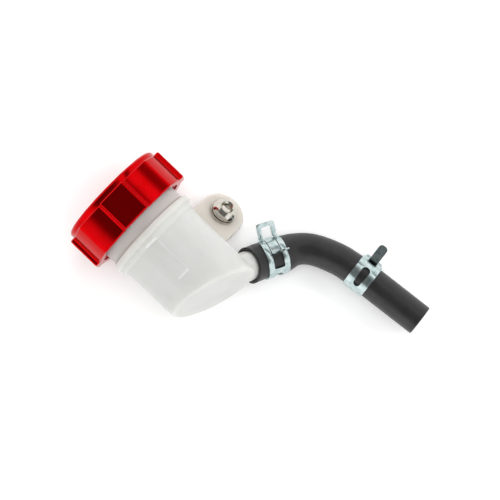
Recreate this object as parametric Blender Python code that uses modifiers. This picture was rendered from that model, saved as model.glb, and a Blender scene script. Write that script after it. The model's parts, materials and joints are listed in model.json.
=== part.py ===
"""Remote brake fluid reservoir with its cap, mounting bolt, hose and spring clamps, lying on a table.

The reservoir's own frame has Z along its axis towards the cap and X towards the tab and spout.
FRAME lays it down: the cap rests on one flat lobe and the far end is propped a little by the hose.
All dimensions below are in millimetres and degrees.
"""

import math

import bmesh
import bpy
from mathutils import Matrix, Vector

MM = 0.001
GAP = 0.3  # play left between touching parts

# Pose on the table
ROLL = math.radians(36.5)  # the tab and spout side hangs down towards the table
PITCH = math.radians(2.2)  # the spout end is propped up by the hose
ORIGIN_X = -23.12
ORIGIN_Y = 4.34

# Reservoir body, heights measured along its axis
BODY_R_LOW = 17.8
BODY_R_TOP = 18.4
BOTTOM_W = -2.1  # the slanted bottom on the axis
BOTTOM_SLOPE = math.radians(20)
BOTTOM_ROUND = 1.4
WALL = 1.8
FLOOR = 2.0
COLLAR_R = 20.2
COLLAR_W = (31.3, 34.1)
NECK_R = 18.8
NECK_BORE_R = 16.6
NECK_TOP_W = 50.3

# Thread between neck and cap
PITCH_MM = 3.0
THREAD_TURNS = 2.0
THREAD_ROOT = 1.5
THREAD_CREST = 0.7
NECK_THREAD_W = 42.6
NECK_THREAD_R = 19.85
CAP_THREAD_R = 19.1

# Cap
CAP_W = (39.1, 53.45)
CAP_TOP_W = 56.3
CAP_DISC_R = 23.0
CAP_FLAT = 25.0  # from the axis to a lobe's flat
CAP_LOBE_HALF = 6.3
CAP_STEP_X = 23.3
CAP_NOTCH = (22.6, 7.4)
CAP_RIDGE_R = 26.0
CAP_BULGE = 0.4  # of the faces between a lobe and a ridge
CAP_BORE_R = 20.25
CAP_ROOF_W = 53.5
CAP_CHAMFER = 0.45

# Slip ring and bellows under the cap
RING_R = (14.6, 18.2)
RING_W = (52.2, 53.2)
FLANGE_R = 18.5
FLANGE_W = (50.6, 51.9)
BELLOWS_R = (13.2, 15.5)
BELLOWS_W = 39.6
RUBBER = 0.9

# Tab, bolt and washer
TAB_W = 19.3
TAB_HALF = 9.3
TAB_THICK = 5.0
BOLT_R_POS = 30.8
TAB_HOLE_R = 3.3
WASHER_R = 5.8
WASHER_T = 0.9
HEAD_R = 5.3
HEAD_H = 3.4
SHANK_R = 2.95
SHANK_L = 10.0
SOCKET_AF = 4.0
SOCKET_DEPTH = 2.3

# Spout, measured along its own axis from where that meets the reservoir's
SPOUT_R = 6.15
SPOUT_ABOVE = 6.4  # of its axis over the slanted bottom
SPOUT_BORE_R = 3.75
MOUTH_A = 23.54  # where the hose begins
SPOUT_IN = 7.0  # how far it reaches into the hose

# Hose: points on its centreline after the mouth, in the row frame before the origin is moved
HOSE_WALL = (1.3, 1.9)  # stretched over the spout, and free
HOSE_R_MOUTH = 7.65
HOSE_R_CLAMP = 7.4
HOSE_R = 6.5
ROUTE = [
    (6.46, 23.66, 10.95),
    (8.24, 27.13, 9.60),
    (10.21, 30.64, 8.60),
    (12.30, 35.06, 7.75),
    (14.96, 38.43, 7.50),
    (18.47, 41.08, 7.65),
    (23.20, 43.37, 8.40),
    (29.39, 45.47, 10.00),
]
STRAIGHT = [(35.60, 46.60, 11.10), (69.40, 50.15, 12.55)]
HOSE_STEP = 2.2
HOSE_SIDES = 24

# Spring clamps
CLAMP_WIDE = 9.3
CLAMP_T = 0.65
TONGUE_HALF = 2.0
WINDOW_HALF = 2.3
SLOT_HALF = (1.65, 1.25)
LOOP_HALF = 4.0
LOOP_H = 6.6
LOOP_BAR = 1.7
NARROW_HALF = 2.0
NARROW_H = 7.9
CLAMP_1_R = 7.75  # inside
CLAMP_2_R = 6.8
CLAMP_1_EAR = 20.0  # degrees above the horizontal, on the left of the hose
CLAMP_2_EAR = -50.0
CLAMP_2_ALONG = 4.4  # from the start of the hose's straight end

WHITE = (0.80, 0.81, 0.78, 1.0)
RED = (0.62, 0.01, 0.02, 1.0)


def frame():
    """From the reservoir's frame to the row frame."""
    c, s = math.cos(ROLL), math.sin(ROLL)
    lying = Matrix(((0, 0, -1, 0), (c, -s, 0, 0), (-s, -c, 0, 0), (0, 0, 0, 1)))
    tip = Matrix.Rotation(-PITCH, 4, "Y")
    rest = tip @ Vector((-(CAP_W[1] - CAP_CHAMFER), 0, -CAP_FLAT))
    shift = Matrix.Translation(Vector((-ORIGIN_X, -ORIGIN_Y, -rest.z)) * MM)
    return shift @ tip @ lying


def clear_scene():
    for o in list(bpy.data.objects):
        bpy.data.objects.remove(o, do_unlink=True)
    for m in list(bpy.data.meshes):
        bpy.data.meshes.remove(m)


def collection(name):
    c = bpy.data.collections.new(name)
    bpy.context.scene.collection.children.link(c)
    return c


def material(name, color, rough, metal=0.0):
    m = bpy.data.materials.new(name)
    m.use_nodes = True
    p = m.node_tree.nodes["Principled BSDF"]
    p.inputs["Base Color"].default_value = color
    p.inputs["Roughness"].default_value = rough
    p.inputs["Metallic"].default_value = metal
    return m


def add(name, bm, matrix, tool=False):
    """An object in millimetre data, stored in metres."""
    bmesh.ops.scale(bm, vec=(MM, MM, MM), verts=bm.verts)
    mesh = bpy.data.meshes.new(name)
    bm.to_mesh(mesh)
    bm.free()
    o = bpy.data.objects.new(name, mesh)
    o.matrix_world = matrix
    (TOOLS if tool else PARTS).objects.link(o)
    if tool:
        o.hide_render = True
        o.display_type = "WIRE"
    return o


def volume(o):
    dg = bpy.context.evaluated_depsgraph_get()
    bm = bmesh.new()
    bm.from_mesh(o.evaluated_get(dg).to_mesh())
    v = bm.calc_volume(signed=True)
    bm.free()
    return v


def revolve(name, profile, matrix, steps=48, closed=False, tool=False):
    """A turned piece from (radius, height) points."""
    bm = bmesh.new()
    points = [bm.verts.new((r, 0, h)) for r, h in profile]
    for a, b in zip(points, points[1:]):
        bm.edges.new((a, b))
    if closed:
        bm.edges.new((points[-1], points[0]))
    o = add(name, bm, matrix, tool)
    screw = o.modifiers.new("turn", "SCREW")
    screw.axis = "Z"
    screw.steps = steps
    screw.render_steps = steps
    screw.use_merge_vertices = True
    screw.merge_threshold = 0.00001
    screw.use_normal_calculate = True
    bpy.context.view_layer.update()
    if volume(o) < 0:
        screw.use_normal_flip = True
    return o


def plate(name, outline, thick, matrix, tool=False, bevel=0.0):
    """A flat piece: an outline in X and Y, as thick as that in Z and centred on it."""
    bm = bmesh.new()
    face = bm.faces.new([bm.verts.new((x, y, -thick / 2)) for x, y in outline])
    grown = bmesh.ops.extrude_face_region(bm, geom=[face])["geom"]
    top = [g for g in grown if isinstance(g, bmesh.types.BMVert)]
    bmesh.ops.translate(bm, vec=(0, 0, thick), verts=top)
    bmesh.ops.recalc_face_normals(bm, faces=bm.faces)
    o = add(name, bm, matrix, tool)
    if bevel:
        b = o.modifiers.new("edge", "BEVEL")
        b.width = bevel * MM
        b.segments = 1
        b.limit_method = "ANGLE"
        b.angle_limit = math.radians(50)
    return o


def box(name, x, y, z, matrix):
    outline = [(x[0], y[0]), (x[1], y[0]), (x[1], y[1]), (x[0], y[1])]
    up = Matrix.Translation(Vector((0, 0, (z[0] + z[1]) / 2)) * MM)
    return plate(name, outline, z[1] - z[0], matrix @ up, tool=True)


def boolean(target, tool, how):
    b = target.modifiers.new(tool.name, "BOOLEAN")
    b.operation = how
    b.solver = "EXACT"
    b.object = tool


def join(target, tool):
    boolean(target, tool, "UNION")


def cut(target, tool):
    boolean(target, tool, "DIFFERENCE")


def axes(x, y, z, origin):
    m = Matrix((x, y, z)).transposed().to_4x4()
    m.translation = Vector(origin) * MM
    return m


def thread(name, r_root, r_crest, start, phase, matrix):
    """A helical ridge whose foot is at r_root, with its ends closed."""
    bm = bmesh.new()
    half = (THREAD_ROOT / 2, THREAD_CREST / 2)
    corners = [(r_root, -half[0]), (r_crest, -half[1]), (r_crest, half[1]), (r_root, half[0])]
    points = [bm.verts.new((r, 0, start + h)) for r, h in corners]
    for a, b in zip(points, points[1:] + points[:1]):
        bm.edges.new((a, b))
    o = add(name, bm, matrix @ Matrix.Rotation(phase, 4, "Z"), tool=True)
    screw = o.modifiers.new("turn", "SCREW")
    screw.angle = 2 * math.pi * THREAD_TURNS
    screw.screw_offset = PITCH_MM * THREAD_TURNS * MM
    screw.steps = int(36 * THREAD_TURNS)
    screw.render_steps = screw.steps
    bpy.context.view_layer.update()
    dg = bpy.context.evaluated_depsgraph_get()
    closed = bmesh.new()
    closed.from_mesh(o.evaluated_get(dg).to_mesh())
    bmesh.ops.holes_fill(closed, edges=[e for e in closed.edges if e.is_boundary], sides=0)
    bmesh.ops.recalc_face_normals(closed, faces=closed.faces)
    o.modifiers.clear()
    closed.to_mesh(o.data)
    closed.free()
    return o


def slanted(name, profile, segments, rounding, matrix, tool):
    """A turned piece whose lowest ring lies in the slanted plane of the reservoir's bottom."""
    bm = bmesh.new()
    points = [bm.verts.new((r, 0, h)) for r, h in profile]
    edges = [bm.edges.new(pair) for pair in zip(points, points[1:])]
    bmesh.ops.spin(
        bm, geom=points + edges, cent=(0, 0, 0), axis=(0, 0, 1),
        angle=2 * math.pi, steps=64, use_merge=True,
    )
    bmesh.ops.remove_doubles(bm, verts=bm.verts, dist=0.0001)
    bmesh.ops.recalc_face_normals(bm, faces=bm.faces)
    low = profile[0][1] + 0.001
    weight = bm.edges.layers.float.new("bevel_weight_edge")
    ring = [v for v in bm.verts if v.co.z < low]
    for e in bm.edges:
        rim = all(v in ring and v.co.xy.length > 1 for v in e.verts)
        if rim:
            e[weight] = 1.0
    for v in ring:
        v.co.z -= v.co.x * math.tan(BOTTOM_SLOPE)
    o = add(name, bm, matrix, tool)
    b = o.modifiers.new("rounding", "BEVEL")
    b.width = rounding * MM
    b.segments = segments
    b.limit_method = "WEIGHT"
    return o


def reservoir(base):
    top = NECK_TOP_W
    outer = [
        (0, BOTTOM_W), (BODY_R_LOW, BOTTOM_W), (BODY_R_TOP, COLLAR_W[0]), (COLLAR_R, COLLAR_W[0]),
        (COLLAR_R, COLLAR_W[1]), (NECK_R, COLLAR_W[1]), (NECK_R, top - 0.5), (NECK_R - 0.5, top), (0, top),
    ]
    body = slanted("reservoir_body", outer, 4, BOTTOM_ROUND, base, tool=False)
    join(body, thread("neck_thread", NECK_R - 0.3, NECK_THREAD_R, NECK_THREAD_W, 0.0, base))

    arc = [math.radians(a) for a in range(90, -91, -12)]
    outline = [(14, TAB_HALF)] + [
        (BOLT_R_POS + TAB_HALF * math.cos(a), TAB_HALF * math.sin(a)) for a in arc
    ] + [(14, -TAB_HALF)]
    upright = axes((1, 0, 0), (0, 0, 1), (0, -1, 0), (0, 0, TAB_W))
    join(body, plate("tab", outline, TAB_THICK, base @ upright, tool=True))

    end = MOUTH_A + SPOUT_IN
    profile = [
        (0, 8), (SPOUT_R, 8), (SPOUT_R, MOUTH_A - 0.4), (SPOUT_R - 0.3, MOUTH_A), (SPOUT_R - 0.3, MOUTH_A + 1.5),
        (SPOUT_R - 1.1, end - 0.6), (SPOUT_R - 1.7, end), (0, end),
    ]
    spout = spout_frame(base)
    join(body, revolve("spout", profile, spout, steps=40, tool=True))

    for k, w in enumerate((29.55, 11.35)):
        r = BODY_R_LOW + (BODY_R_TOP - BODY_R_LOW) * (w - BOTTOM_W) / (COLLAR_W[0] - BOTTOM_W)
        turn = Matrix.Rotation(math.radians(-136.5), 4, "Z")
        mark = box(f"level_mark_{k + 1}", (r - 1.4, r + 0.3), (-2.8, 2.8), (w - 0.4, w + 0.4), base @ turn)
        join(body, mark)

    inner = [
        (0, BOTTOM_W + FLOOR), (BODY_R_LOW - WALL, BOTTOM_W + FLOOR),
        (BODY_R_TOP - WALL, COLLAR_W[0]), (NECK_BORE_R, top + 1), (0, top + 1),
    ]
    cut(body, slanted("cavity", inner, 2, 1.2, base, tool=True))
    bore = [(0, 5), (SPOUT_BORE_R, 5), (SPOUT_BORE_R, end + 1), (0, end + 1)]
    cut(body, revolve("spout_bore", bore, spout, steps=32, tool=True))
    hole = [(0, -4), (TAB_HOLE_R, -4), (TAB_HOLE_R, 4), (0, 4)]
    at = axes((1, 0, 0), (0, 0, 1), (0, -1, 0), (BOLT_R_POS, 0, TAB_W))
    cut(body, revolve("tab_hole", hole, base @ at, steps=32, tool=True))
    return body


def spout_frame(base):
    """Z along the spout, from where its axis meets the reservoir's."""
    c, s = math.cos(BOTTOM_SLOPE), math.sin(BOTTOM_SLOPE)
    start = (0, 0, BOTTOM_W + SPOUT_ABOVE / c)
    return base @ axes((s, 0, c), (0, 1, 0), (c, 0, -s), start)


def cap_outline():
    """Four flat-faced lobes, each set off by a step, with ridges between them."""
    ridge = CAP_RIDGE_R * math.sqrt(0.5)
    half = [
        (CAP_FLAT, CAP_LOBE_HALF), (CAP_STEP_X, CAP_LOBE_HALF + 0.2),
        (CAP_NOTCH[0] + 0.15, CAP_NOTCH[1] - 0.45), CAP_NOTCH,
    ]
    foot, crest = Vector(CAP_NOTCH), Vector((ridge, ridge))
    out = Vector((crest.y - foot.y, foot.x - crest.x)).normalized()
    for t in (0.25, 0.5, 0.75):
        half.append(tuple(foot.lerp(crest, t) + out * CAP_BULGE * 4 * t * (1 - t)))
    lobe = half + [(ridge, ridge)] + [(y, x) for x, y in reversed(half)]
    points = []
    for k in range(4):
        a = math.pi / 2 * k
        c, s = math.cos(a), math.sin(a)
        points += [(x * c - y * s, x * s + y * c) for x, y in lobe]
    return points


def cap(base):
    turn = Matrix.Rotation(-ROLL, 4, "Z")
    height = CAP_W[1] - CAP_W[0]
    middle = Matrix.Translation((0, 0, (CAP_W[0] + CAP_W[1]) / 2 * MM))
    o = plate("cap", cap_outline(), height, base @ middle @ turn, bevel=CAP_CHAMFER)
    disc = [
        (0, CAP_W[1] - 2), (CAP_DISC_R, CAP_W[1] - 2), (CAP_DISC_R, CAP_TOP_W - 0.8),
        (CAP_DISC_R - 0.24, CAP_TOP_W - 0.24), (CAP_DISC_R - 0.8, CAP_TOP_W), (0, CAP_TOP_W),
    ]
    join(o, revolve("cap_disc", disc, base, steps=64, tool=True))
    bore = [
        (0, CAP_W[0] - 1), (CAP_BORE_R + 0.6, CAP_W[0] - 1), (CAP_BORE_R + 0.6, CAP_W[0] + 0.6),
        (CAP_BORE_R, CAP_W[0] + 1.2), (CAP_BORE_R, CAP_ROOF_W), (0, CAP_ROOF_W),
    ]
    cut(o, revolve("cap_bore", bore, base, steps=48, tool=True))
    start = NECK_THREAD_W - PITCH_MM / 2
    join(o, thread("cap_thread", CAP_BORE_R + 0.3, CAP_THREAD_R, start, 0.0, base))
    return o


def seal(base):
    ring = [(RING_R[0], RING_W[0]), (RING_R[1], RING_W[0]), (RING_R[1], RING_W[1]), (RING_R[0], RING_W[1])]
    slip = revolve("slip_ring", ring, base, closed=True)
    lo, hi = BELLOWS_R
    w, t = BELLOWS_W, RUBBER
    step = (FLANGE_W[0] - w) / 6
    outer = [(0, w), (lo - 1.0, w), (hi, w + 1.3 * step)]
    outer += [(lo, w + 2.3 * step), (hi, w + 3.3 * step), (lo, w + 4.3 * step)]
    outer += [(hi, w + 5.3 * step), (hi, FLANGE_W[0]), (FLANGE_R, FLANGE_W[0])]
    inner = [(FLANGE_R, FLANGE_W[1]), (hi - t, FLANGE_W[1]), (hi - t, w + 5.3 * step + 0.25)]
    inner += [(lo - t, w + 4.3 * step), (hi - t, w + 3.3 * step), (lo - t, w + 2.3 * step)]
    inner += [(hi - t, w + 1.3 * step), (lo - 1.4, w + t), (0, w + t)]
    diaphragm = revolve("diaphragm", outer + inner, base, steps=40)
    return slip, diaphragm


def bolt(base):
    seat = TAB_THICK / 2 + GAP
    at = base @ axes((1, 0, 0), (0, 0, 1), (0, -1, 0), (BOLT_R_POS, -seat, TAB_W))
    hole = SHANK_R + GAP
    ring = [(hole, 0), (WASHER_R, 0), (WASHER_R, WASHER_T), (hole, WASHER_T)]
    washer = revolve("bolt_washer", ring, at, steps=32, closed=True)
    up = at @ Matrix.Translation((0, 0, (WASHER_T + GAP) * MM))
    profile = [(0, -SHANK_L), (SHANK_R - 0.6, -SHANK_L)]
    for k in range(6):
        low = -SHANK_L + 0.5 + k
        profile += [(SHANK_R, low), (SHANK_R, low + 0.2), (SHANK_R - 0.5, low + 0.6)]
    profile += [(SHANK_R, -SHANK_L + 6.5), (SHANK_R, 0), (HEAD_R - 0.15, 0), (HEAD_R, 0.2), (HEAD_R, 0.6)]
    for a in (20, 38, 54, 68):
        rise = math.radians(a)
        profile.append((1.6 + (HEAD_R - 1.6) * math.cos(rise), 0.6 + (HEAD_H - 0.6) * math.sin(rise)))
    profile += [(2.75, HEAD_H), (0, HEAD_H)]
    o = revolve("mounting_bolt", profile, up, steps=28)
    r = SOCKET_AF / 2 / math.cos(math.pi / 6)
    hexagon = [(r * math.cos(math.pi / 3 * k), r * math.sin(math.pi / 3 * k)) for k in range(6)]
    middle = Matrix.Translation((0, 0, (HEAD_H - SOCKET_DEPTH + 2) * MM))
    cut(o, plate("hex_socket", hexagon, 4, up @ middle, tool=True))
    mouth = [(0, HEAD_H - 0.45), (2.25, HEAD_H - 0.45), (2.75, HEAD_H + 0.05), (0, HEAD_H + 0.05)]
    cut(o, revolve("socket_mouth", mouth, up, steps=28, tool=True))
    return washer, o


def row_point(p):
    return Vector((p[0] - ORIGIN_X, p[1] - ORIGIN_Y, p[2]))


def centreline(base):
    """Evenly spaced points down the middle of the hose, and their distance from its mouth."""
    spout = spout_frame(base)
    mouth = (spout @ Vector((0, 0, MOUTH_A * MM))) / MM
    along = (spout.to_3x3() @ Vector((0, 0, 1))).normalized()
    ends = [row_point(p) for p in STRAIGHT]
    knots = [mouth - 5 * along, mouth, mouth + 2.0 * along] + [row_point(p) for p in ROUTE]
    straight = (ends[1] - ends[0]).normalized()
    knots += [ends[0], ends[0] + 3 * straight, ends[0] + 6 * straight]
    fine = []
    for a, b, c, d in zip(knots, knots[1:], knots[2:], knots[3:]):
        for k in range(24):
            t = k / 24
            fine.append(0.5 * (
                2 * b + (c - a) * t + (2 * a - 5 * b + 4 * c - d) * t * t
                + (3 * b - 3 * c + d - a) * t ** 3
            ))
    fine += [ends[0] + 3 * straight, ends[1]]
    total = sum((b - a).length for a, b in zip(fine, fine[1:]))
    count = round(total / HOSE_STEP)
    points, gone, target = [fine[0]], 0.0, total / count
    for a, b in zip(fine, fine[1:]):
        length = (b - a).length
        while len(points) * target <= gone + length + 1e-9 and len(points) <= count:
            points.append(a.lerp(b, (len(points) * target - gone) / length))
        gone += length
    return points, total


def hose_radius(distance):
    """Stretched over the spout, then easing to its own size."""
    if distance < 5.5:
        return HOSE_R_MOUTH + (HOSE_R_CLAMP - HOSE_R_MOUTH) * distance / 5.5
    if distance < 15.5:
        return HOSE_R_CLAMP
    if distance < 24:
        t = (distance - 15.5) / 8.5
        return HOSE_R_CLAMP + (HOSE_R - HOSE_R_CLAMP) * t * t * (3 - 2 * t)
    return HOSE_R


def hose_wall(distance):
    """Thinner where the spout stretches it."""
    t = min(1, max(0, (distance - SPOUT_IN - 1) / 15))
    stretched, free = HOSE_WALL
    return stretched + (free - stretched) * t * t * (3 - 2 * t)


def hose(base):
    """A tube with its own inner and outer radius at each point."""
    points, total = centreline(base)
    last = len(points) - 1
    side = Vector((0, 0, 1)).cross(points[1] - points[0]).normalized()
    turns = [2 * math.pi * k / HOSE_SIDES for k in range(HOSE_SIDES)]
    bm = bmesh.new()
    outer, inner = [], []
    for k, p in enumerate(points):
        along = (points[min(k + 1, last)] - points[max(k - 1, 0)]).normalized()
        side = (side - along * side.dot(along)).normalized()
        up = along.cross(side)
        distance = total * k / last
        r = hose_radius(distance)
        for rings, radius in ((outer, r), (inner, r - hose_wall(distance))):
            rings.append([bm.verts.new(p + radius * (math.cos(a) * side + math.sin(a) * up)) for a in turns])
    loop = outer + inner[::-1]
    for a, b in zip(loop, loop[1:] + loop[:1]):
        for k in range(HOSE_SIDES):
            bm.faces.new((a[k], a[k - 1], b[k - 1], b[k]))
    bmesh.ops.recalc_face_normals(bm, faces=bm.faces)
    return add("hose", bm, Matrix.Identity(4))


def band_block(name, sections, r0, r1, matrix):
    """A loft round the clamp's axis through (degrees, low z, high z) sections."""
    bm = bmesh.new()
    rings = []
    for a, low, high in sections:
        c, s = math.cos(math.radians(a)), math.sin(math.radians(a))
        corners = [(r0, low), (r1, low), (r1, high), (r0, high)]
        rings.append([bm.verts.new((r * c, r * s, z)) for r, z in corners])
    for lower, upper in zip(rings, rings[1:]):
        for k in range(4):
            bm.faces.new((lower[k], lower[k - 1], upper[k - 1], upper[k]))
    bm.faces.new(rings[0])
    bm.faces.new(reversed(rings[-1]))
    bmesh.ops.recalc_face_normals(bm, faces=bm.faces)
    return add(name, bm, matrix, tool=True)


def steps_between(a, b, n):
    return [a + (b - a) * k / n for k in range(n + 1)]


def ear(name, half, foot, top, bar, at):
    """A radial plate with rounded top corners; bar gives the width of a loop's frame."""
    c = 0.9
    outline = [
        (foot, -half), (top - c, -half), (top - 0.3 * c, -half + 0.3 * c), (top, -half + c),
        (top, half - c), (top - 0.3 * c, half - 0.3 * c), (top - c, half), (foot, half),
    ]
    o = plate(name, outline, CLAMP_T, at, tool=True)
    if bar:
        cut(o, plate(name + "_window", [
            (foot - 2, -WINDOW_HALF), (top - bar, -WINDOW_HALF), (top - bar, WINDOW_HALF), (foot - 2, WINDOW_HALF),
        ], 4, at, tool=True))
    return o


def clamp(name, centre, along, ear_angle, r_in, arcs):
    """A spring band clamp: a loop ear, a window with the tongue's ear in it, and a tapering slot."""
    left = Vector((0, 0, 1)).cross(along).normalized()
    over = along.cross(left)
    e = math.radians(ear_angle)
    x = math.cos(e) * left + math.sin(e) * over
    base = axes(x, along.cross(x), along, centre)
    r_out = r_in + CLAMP_T
    w = CLAMP_WIDE / 2
    band = [(r_in, -w), (r_out, -w), (r_out, w), (r_in, w)]
    o = revolve(name, band, base, steps=56, closed=True)
    reach = (r_in - 1, r_out + 1)
    narrow, window_end, slot = arcs
    for side in (-1, 1):
        taper = [(a, TONGUE_HALF + (w + 0.5 - TONGUE_HALF) * t, w + 1) for a, t in ((-62, 1), (-46, 0.35), (-34, 0))]
        taper += [(a, TONGUE_HALF, w + 1) for a in steps_between(-28, -4, 4)]
        slit = [(a, TONGUE_HALF, WINDOW_HALF) for a in steps_between(-5, narrow + 4, 9)]
        for kind, sections in (("taper", taper), ("slit", slit)):
            signed = [(a, *sorted((side * lo, side * hi))) for a, lo, hi in sections]
            cut(o, band_block(f"{name}_{kind}_{side + 1}", signed, *reach, base))
    half = WINDOW_HALF
    opening = [(a, -half, half) for a in steps_between(narrow + 3, window_end, 5)]
    cut(o, band_block(f"{name}_window", opening, *reach, base))
    hole = []
    for k in range(13):
        t = k / 12
        wide = SLOT_HALF[0] + (SLOT_HALF[1] - SLOT_HALF[0]) * t
        end = min(t * 6.0, (1 - t) * 8.2, 1.0)
        bulge = wide * math.sqrt(max(0.06, 1 - (1 - end) ** 2))
        hole.append((slot[0] + (slot[1] - slot[0]) * t, -bulge, bulge))
    cut(o, band_block(f"{name}_slot", hole, *reach, base))
    stand = Matrix(((1, 0, 0, 0), (0, 0, -1, 0), (0, 1, 0, 0), (0, 0, 0, 1)))
    join(o, ear(f"{name}_loop", LOOP_HALF, r_in + 0.15, r_out + LOOP_H, LOOP_BAR, base @ stand))
    turned = base @ Matrix.Rotation(math.radians(narrow), 4, "Z") @ stand
    join(o, ear(f"{name}_narrow", NARROW_HALF, r_in + 0.15, r_out + NARROW_H, 0, turned))
    return o


def clamps(base):
    points, total = centreline(base)
    at = min(points, key=lambda p: (p - row_point(ROUTE[1])).length)
    k = points.index(at)
    along = (points[k + 2] - points[k - 2]).normalized()
    middle = (at * 2 + points[k - 2] + points[k + 2]) / 4
    first = clamp("spout_clamp", middle, along, CLAMP_1_EAR, CLAMP_1_R, (65, 110, (131, 197)))
    ends = [row_point(p) for p in STRAIGHT]
    straight = (ends[1] - ends[0]).normalized()
    centre = ends[0] + CLAMP_2_ALONG * straight
    second = clamp("hose_end_clamp", centre, straight, CLAMP_2_EAR, CLAMP_2_R, (65, 88, (111, 185)))
    return first, second


def paint(o, mat):
    o.data.materials.clear()
    o.data.materials.append(mat)


clear_scene()
PARTS = collection("brake_fluid_reservoir")
TOOLS = collection("cutters")
BASE = frame()

plastic = material("natural_plastic", WHITE, 0.45)
anodised = material("red_anodised", RED, 0.28, 1.0)
ring_plastic = material("ring_plastic", (0.72, 0.72, 0.70, 1), 0.5)
bellows_rubber = material("bellows_rubber", (0.03, 0.03, 0.03, 1), 0.7)
stainless = material("stainless_bolt", (0.72, 0.70, 0.66, 1), 0.12, 1.0)
stainless_washer = material("stainless_washer", (0.70, 0.69, 0.66, 1), 0.2, 1.0)
hose_rubber = material("hose_rubber", (0.035, 0.035, 0.037, 1), 0.55)
zinc = material("zinc_spout_clamp", (0.66, 0.72, 0.71, 1), 0.22, 1.0)
zinc_end = material("zinc_end_clamp", (0.66, 0.72, 0.71, 1), 0.22, 1.0)

paint(reservoir(BASE), plastic)
paint(cap(BASE), anodised)
for made, coat in zip(seal(BASE), (ring_plastic, bellows_rubber)):
    paint(made, coat)
for made, coat in zip(bolt(BASE), (stainless_washer, stainless)):
    paint(made, coat)
paint(hose(BASE), hose_rubber)
for made, coat in zip(clamps(BASE), (zinc, zinc_end)):
    paint(made, coat)
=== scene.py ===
"""Looks for a remote brake fluid reservoir that lies on a white table, built around its CAD frame.

Shapes are in millimetres in the reservoir's own frame, Z along its axis towards the cap and X towards
the tab and the spout. BASE lays that frame down on the table, in metres.
"""

import json
import math

import bmesh
import bpy
from mathutils import Matrix, Vector

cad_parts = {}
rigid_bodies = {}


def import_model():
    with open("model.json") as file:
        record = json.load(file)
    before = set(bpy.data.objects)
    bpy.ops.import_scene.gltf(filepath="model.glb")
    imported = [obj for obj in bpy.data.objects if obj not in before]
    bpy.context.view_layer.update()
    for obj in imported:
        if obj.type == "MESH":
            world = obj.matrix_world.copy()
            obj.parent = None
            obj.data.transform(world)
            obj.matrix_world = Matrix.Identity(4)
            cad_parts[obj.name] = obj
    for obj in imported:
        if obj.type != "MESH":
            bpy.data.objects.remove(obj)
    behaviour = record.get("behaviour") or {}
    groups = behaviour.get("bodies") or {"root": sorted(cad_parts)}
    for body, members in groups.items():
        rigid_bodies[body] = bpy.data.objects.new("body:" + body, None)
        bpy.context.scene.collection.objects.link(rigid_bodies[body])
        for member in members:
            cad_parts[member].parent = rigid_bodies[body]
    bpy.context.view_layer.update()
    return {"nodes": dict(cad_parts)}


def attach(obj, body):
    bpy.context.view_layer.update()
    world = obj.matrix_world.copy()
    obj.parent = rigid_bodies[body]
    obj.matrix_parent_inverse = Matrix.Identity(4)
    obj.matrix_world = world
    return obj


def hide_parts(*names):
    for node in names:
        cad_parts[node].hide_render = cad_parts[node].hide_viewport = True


MM = 0.001

# Where the reservoir lies, as in the CAD model
ROLL = math.radians(36.5)
PITCH = math.radians(2.2)
ORIGIN = Vector((-23.12, 4.34, 0))
LIFT_EDGE = (53.0, 25.0)  # height along the axis and distance from it of the edge it lies on

# Reservoir
SLOPE = math.radians(20)
BOTTOM_W = -2.1
BODY_R = (17.8, 18.4)
COLLAR_W = (31.3, 34.1)
COLLAR_R = 20.2
NECK_R = 18.8
NECK_TOP = 50.3
WALL = 1.8
TAB_W = 19.3
TAB_R = 30.8
TAB_HALF = 9.3
TAB_THICK = 5.0
SPOUT_R = 6.15
SPOUT_ABOVE = 6.4
MOUTH_A = 23.54
SPOUT_IN = 7.0
THREAD_STEP = 3.0

# Hose
HOSE_WALL = (1.3, 1.9)  # stretched over the spout, and free
HOSE_R = (7.65, 7.4, 6.5)
ROUTE = [
    (6.46, 23.66, 10.95), (8.24, 27.13, 9.60), (10.21, 30.64, 8.60), (12.30, 35.06, 7.75),
    (14.96, 38.43, 7.50), (18.47, 41.08, 7.65), (23.20, 43.37, 8.40), (29.39, 45.47, 10.00),
]
STRAIGHT = [(35.60, 46.60, 11.10), (69.40, 50.15, 12.55)]

# Clamps
BAND = 9.3
BAND_T = 0.62
CLAMP_2_ALONG = 4.4
SLOT_HALF = (1.95, 1.35)

# The two clamps: degrees round the hose, and heights above the band
SPOUT_CLAMP = dict(
    ear=20.0, r_in=7.62, narrow=66, window_end=110, slot=(131, 197), loop_h=7.2, narrow_h=8.6, lean_along=1.5)
END_CLAMP = dict(ear=-50.0, r_in=6.74, narrow=65, window_end=88, slot=(111, 185), loop_h=6.9, narrow_h=8.35)

# Cap
CAP_LOW = 39.1
CAP_SHOULDER = 53.45
CAP_TOP = 56.3
CAP_R = 23.0
CAP_CREST = 26.0
FLANK_BULGE = 0.4

BODY_VOXEL = 0.33  # how finely the reservoir is remeshed
BOLT_ABOVE = 1.5  # from the tab's face to the underside of the bolt's head

MARK_TURN = math.radians(-136.5)  # where the level marks stand round the reservoir
MARK_W = (29.0, 11.35)
MARK_LIFT = 0.3

# Brightness of the surroundings by the angle from overhead towards the window, in degrees
SURROUNDINGS = [
    (-110, 0.95), (-62, 1.0), (-46, 0.70), (-41, 0.14), (-36, 0.11), (-20, 0.13), (15, 0.13), (19, 0.28),
    (29, 0.38), (33, 1.0), (45, 1.0), (48, 0.16), (58, 0.18), (63, 0.85), (110, 0.95),
]
ENDS_BRIGHTNESS = 0.85  # towards both ends of the reservoir
WORLD_STRENGTH = 1.55
TABLE_GLOW = 0.13
ENDS_FADE = (0.52, 0.70)

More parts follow.
